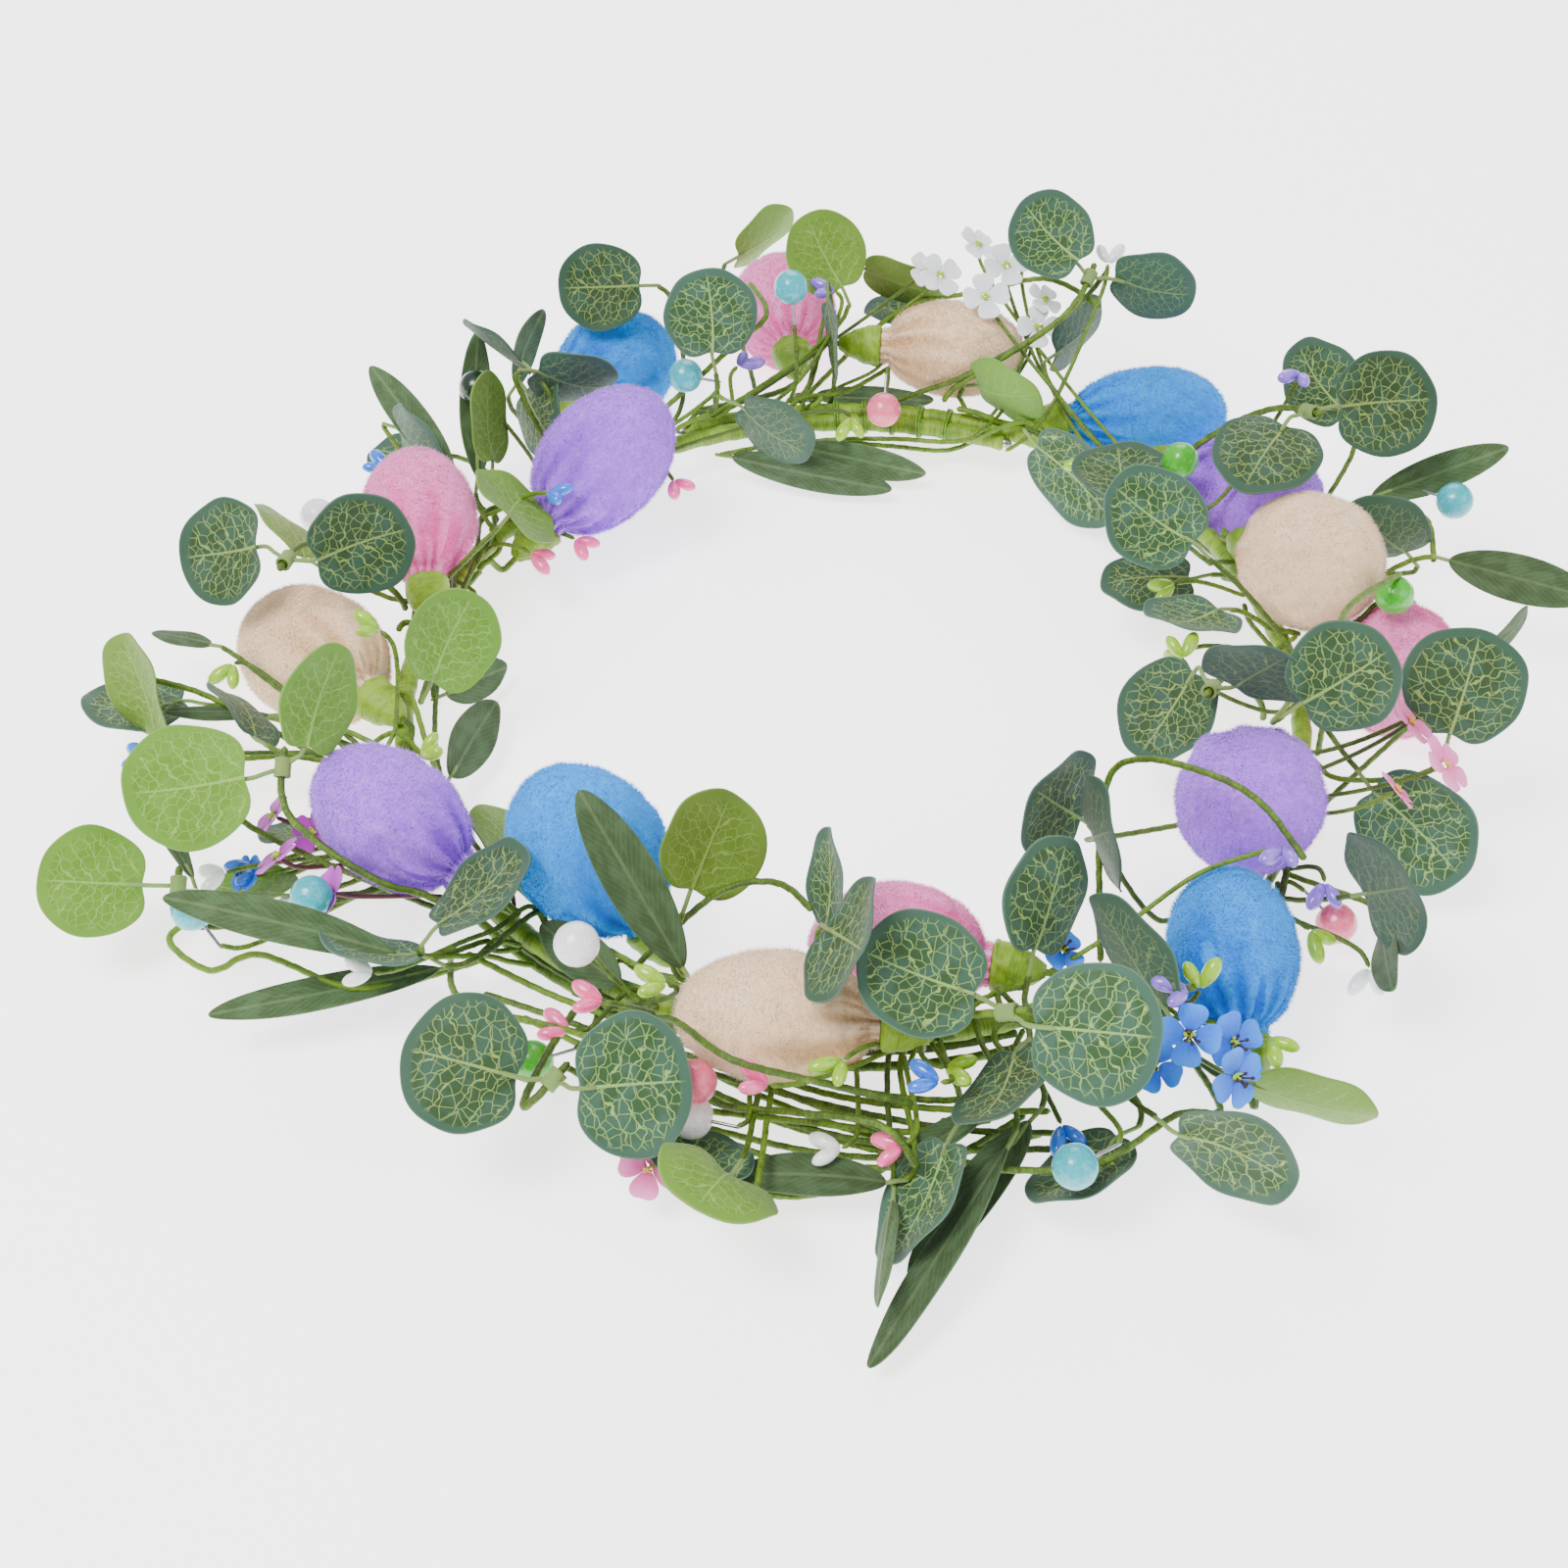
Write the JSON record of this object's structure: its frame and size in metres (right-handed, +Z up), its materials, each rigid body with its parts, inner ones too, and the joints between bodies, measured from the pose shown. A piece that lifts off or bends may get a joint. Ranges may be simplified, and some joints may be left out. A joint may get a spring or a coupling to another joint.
{
  "type": "flower crown",
  "caption": "Head wreath of velvet eggs, eucalyptus and willow leaves, foam berries and florets taped to a wire hoop.",
  "frame": {"origin": "centre of the hoop, in the plane of its centreline, where the wearer's head passes", "axes": "+Z up out of the wearer's head, -Y towards the viewer, +X to the viewer's right"},
  "size_m": [0.3083, 0.3194, 0.0611],
  "materials": {
    "steel_wire": "bright drawn",
    "floral_tape": "waxed crepe paper tape, matt",
    "binding_wire": "thin green paper-covered wire",
    "taped_wire": "wire wrapped in matt paper tape",
    "neck_tape": "creased crepe paper tape, matt",
    "foam_core": "cut foam",
    "velvet_blue": "short pile velvet",
    "velvet_purple": "short pile velvet",
    "velvet_cream": "short pile velvet",
    "velvet_pink": "short pile velvet",
    "leaf_dark": "printed and stiffened cloth, satin",
    "leaf_light": "printed and stiffened cloth, satin",
    "leaf_willow": "stiffened cloth, satin",
    "bud_lime": "glossy",
    "bud_blue": "glossy",
    "bud_pink": "glossy",
    "bud_violet": "glossy",
    "bud_white": "glossy",
    "berry_teal": "foam with a pearl coat",
    "berry_pink": "foam with a pearl coat",
    "berry_white": "foam with a pearl coat",
    "berry_green": "foam with a pearl coat",
    "petal_white": "thin cloth",
    "petal_magenta": "thin cloth",
    "petal_blue": "thin cloth",
    "petal_pink": "thin cloth",
    "floret_eye": "beaded centre"
  },
  "bodies": {
    "root": {"hoop_wire": "steel_wire", "hoop_tape": "floral_tape", "closing_ties": "binding_wire", "bundle_stems": "taped_wire", "blue_egg_front_right": "velvet_blue", "purple_egg_right": "velvet_purple", "pink_egg_right": "velvet_pink", "cream_egg_right": "velvet_cream", "purple_egg_back_right": "velvet_purple", "blue_egg_back_right": "velvet_blue", "cream_egg_back": "velvet_cream", "pink_egg_back": "velvet_pink", "blue_egg_back_left": "velvet_blue", "purple_egg_back_left": "velvet_purple", "pink_egg_left": "velvet_pink", "cream_egg_left": "velvet_cream", "purple_egg_front_left": "velvet_purple", "blue_egg_front_left": "velvet_blue", "cream_egg_front": "velvet_cream", "pink_egg_front": "velvet_pink", "egg_cores": "foam_core", "egg_necks": "neck_tape", "egg_stems": "taped_wire", "left_twigs": "taped_wire", "back_twigs": "taped_wire", "right_twigs": "taped_wire", "front_twigs": "taped_wire", "pair_twigs": "taped_wire", "left_dark_leaves": "leaf_dark", "left_light_leaves": "leaf_light", "back_dark_leaves": "leaf_dark", "light_leaves": "leaf_light", "right_dark_leaves": "leaf_dark", "front_dark_leaves": "leaf_dark", "willow_leaves": "leaf_willow", "lime_buds": "bud_lime", "blue_buds": "bud_blue", "pink_buds": "bud_pink", "violet_buds": "bud_violet", "white_buds": "bud_white", "teal_berries": "berry_teal", "pink_berries": "berry_pink", "white_berries": "berry_white", "green_berries": "berry_green", "berry_pins": "steel_wire", "pick_wires": "taped_wire", "white_florets": "petal_white", "magenta_florets": "petal_magenta", "blue_florets": "petal_blue", "pink_florets": "petal_pink", "floret_eyes": "floret_eye", "floret_stalks": "taped_wire"},
    "pair_left_tip": {"leaf_pair_left_tip": "leaf_light"},
    "pair_left_front": {"leaf_pair_left_front": "leaf_light"},
    "pair_left": {"leaf_pair_left": "leaf_dark"},
    "pair_front_left": {"leaf_pair_front_left": "leaf_dark"},
    "pair_front_right": {"leaf_pair_front_right": "leaf_dark"},
    "pair_right_inner": {"leaf_pair_right_inner": "leaf_dark"},
    "pair_back_right": {"leaf_pair_back_right": "leaf_dark"},
    "pair_back": {"leaf_pair_back": "leaf_dark"}
  },
  "joints": [
    {"name": "pair_left_tip_swivel", "type": "hinge", "parent": "root", "child": "pair_left_tip", "pos_m": [-0.12673, -0.06181, 0.007], "axis": [-0.0151, 0.8659, 0.5], "range_deg": [-15, 15]},
    {"name": "pair_left_front_swivel", "type": "hinge", "parent": "root", "child": "pair_left_front", "pos_m": [-0.10582, -0.05113, 0.02738], "axis": [0.0429, 0.818, 0.5736], "range_deg": [-15, 15]},
    {"name": "pair_left_swivel", "type": "hinge", "parent": "root", "child": "pair_left", "pos_m": [-0.11293, 0.00394, 0.031], "axis": [-0.2048, -0.9633, 0.1736], "range_deg": [-15, 15]},
    {"name": "pair_front_left_swivel", "type": "hinge", "parent": "root", "child": "pair_front_left", "pos_m": [-0.05283, -0.11329, 0.015], "axis": [0.6645, 0.6645, 0.342], "range_deg": [-12, 2]},
    {"name": "pair_front_right_swivel", "type": "hinge", "parent": "root", "child": "pair_front_right", "pos_m": [0.02308, -0.10857, 0.027], "axis": [0.8619, -0.2801, 0.4226], "range_deg": [-12, 12]},
    {"name": "pair_right_inner_swivel", "type": "hinge", "parent": "root", "child": "pair_right_inner", "pos_m": [0.06768, -0.02735, 0.025], "axis": [-0.4266, -0.8373, 0.342], "range_deg": [0, 10]},
    {"name": "pair_back_right_swivel", "type": "hinge", "parent": "root", "child": "pair_back_right", "pos_m": [0.09712, 0.04949, 0.034], "axis": [0.5655, -0.7505, 0.342], "range_deg": [-12, 4]},
    {"name": "pair_back_swivel", "type": "hinge", "parent": "root", "child": "pair_back", "pos_m": [0.05587, 0.10507, 0.031], "axis": [0.4066, 0.7647, 0.5], "range_deg": [-12, 10]}
  ]
}
